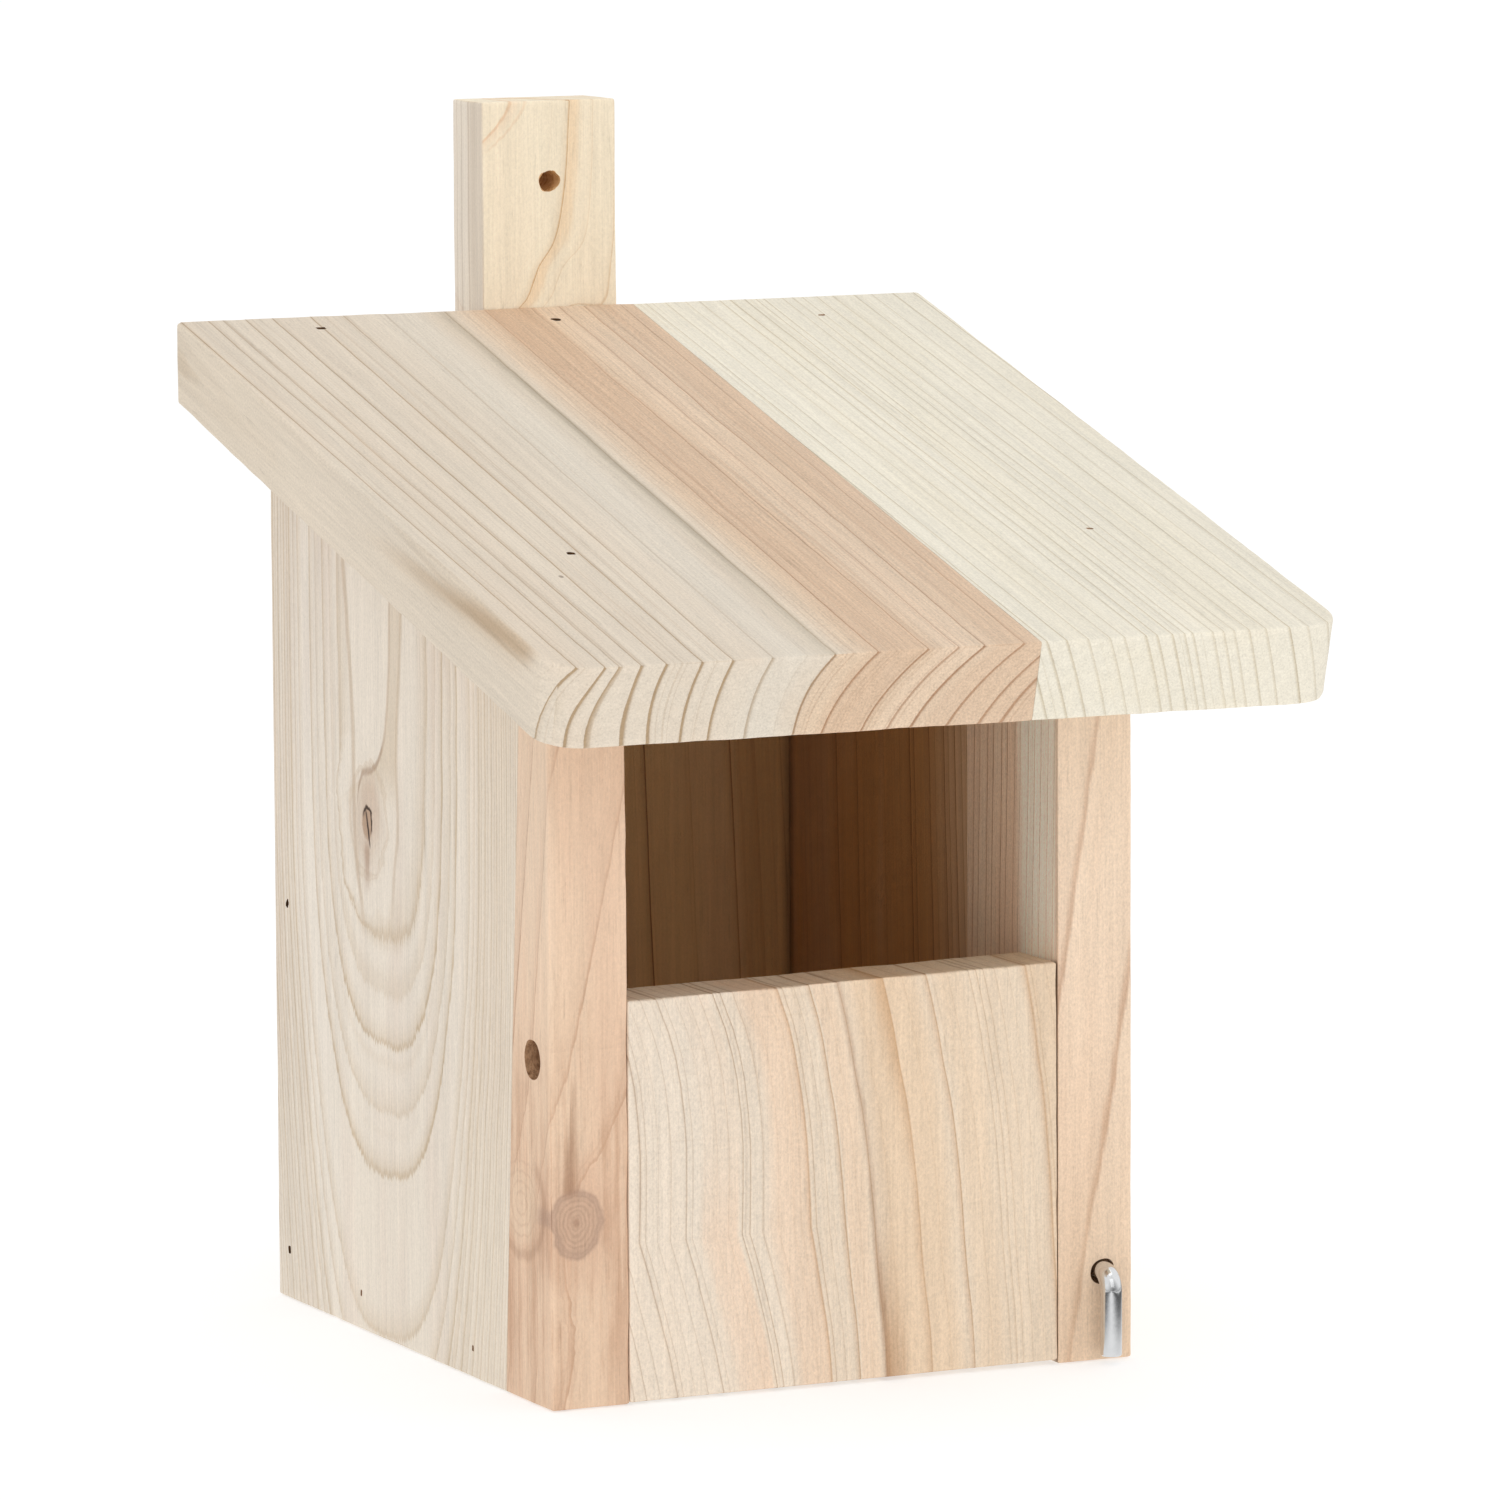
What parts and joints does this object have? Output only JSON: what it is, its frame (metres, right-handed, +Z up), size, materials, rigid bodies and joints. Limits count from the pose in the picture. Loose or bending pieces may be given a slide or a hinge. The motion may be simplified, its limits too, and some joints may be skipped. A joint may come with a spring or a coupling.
{
  "type": "bird nest box",
  "caption": "Open-fronted wooden bird nest box with a lean-to roof, a hanging batten and a lower front flap that swings up on side pivots and is held by a turning wire hook.",
  "frame": {"origin": "centre of the bounding box, on the ground under the box", "axes": "+Z up; the entrance looks along -Y, the hanging batten is at +Y; +X is the right-hand side seen from the front"},
  "size_m": [0.2, 0.2434, 0.2917],
  "materials": {
    "wood_pale": "planed, untreated pale sapwood",
    "wood_heart": "planed, untreated pinkish heartwood",
    "zinc_wire": "bright zinc-plated wire",
    "zinc_screw": "zinc-plated screw",
    "dark_nail": "blank steel brad"
  },
  "bodies": {
    "box": {"roof_left_stave": "wood_heart", "roof_right_stave": "wood_pale", "left_side_rear_stave": "wood_pale", "left_side_front_stave": "wood_heart", "right_side_rear_stave": "wood_heart", "right_side_front_stave": "wood_heart", "back_panel": "wood_heart", "floor_board": "wood_pale", "hanging_batten": "wood_pale", "batten_screws": "zinc_screw", "roof_rear_nails": "dark_nail", "roof_front_nails": "dark_nail", "left_back_nails": "dark_nail", "right_back_nails": "dark_nail", "left_floor_nails": "dark_nail", "right_floor_nails": "dark_nail"},
    "flap": {"front_flap": "wood_heart", "left_pivot_screw": "zinc_screw", "right_pivot_screw": "zinc_screw"},
    "hook": {"latch_hook": "zinc_wire"}
  },
  "joints": [
    {"name": "flap_swing", "type": "hinge", "parent": "box", "child": "flap", "pos_m": [-0.001, -0.05355, 0.0805], "axis": [-1, 0, 0], "range_deg": [0, 170]},
    {"name": "hook_turn", "type": "hinge", "parent": "box", "child": "hook", "pos_m": [0.0662, -0.06355, 0.0212], "axis": [0, 1, 0], "range_deg": [-90, 85.5]}
  ]
}
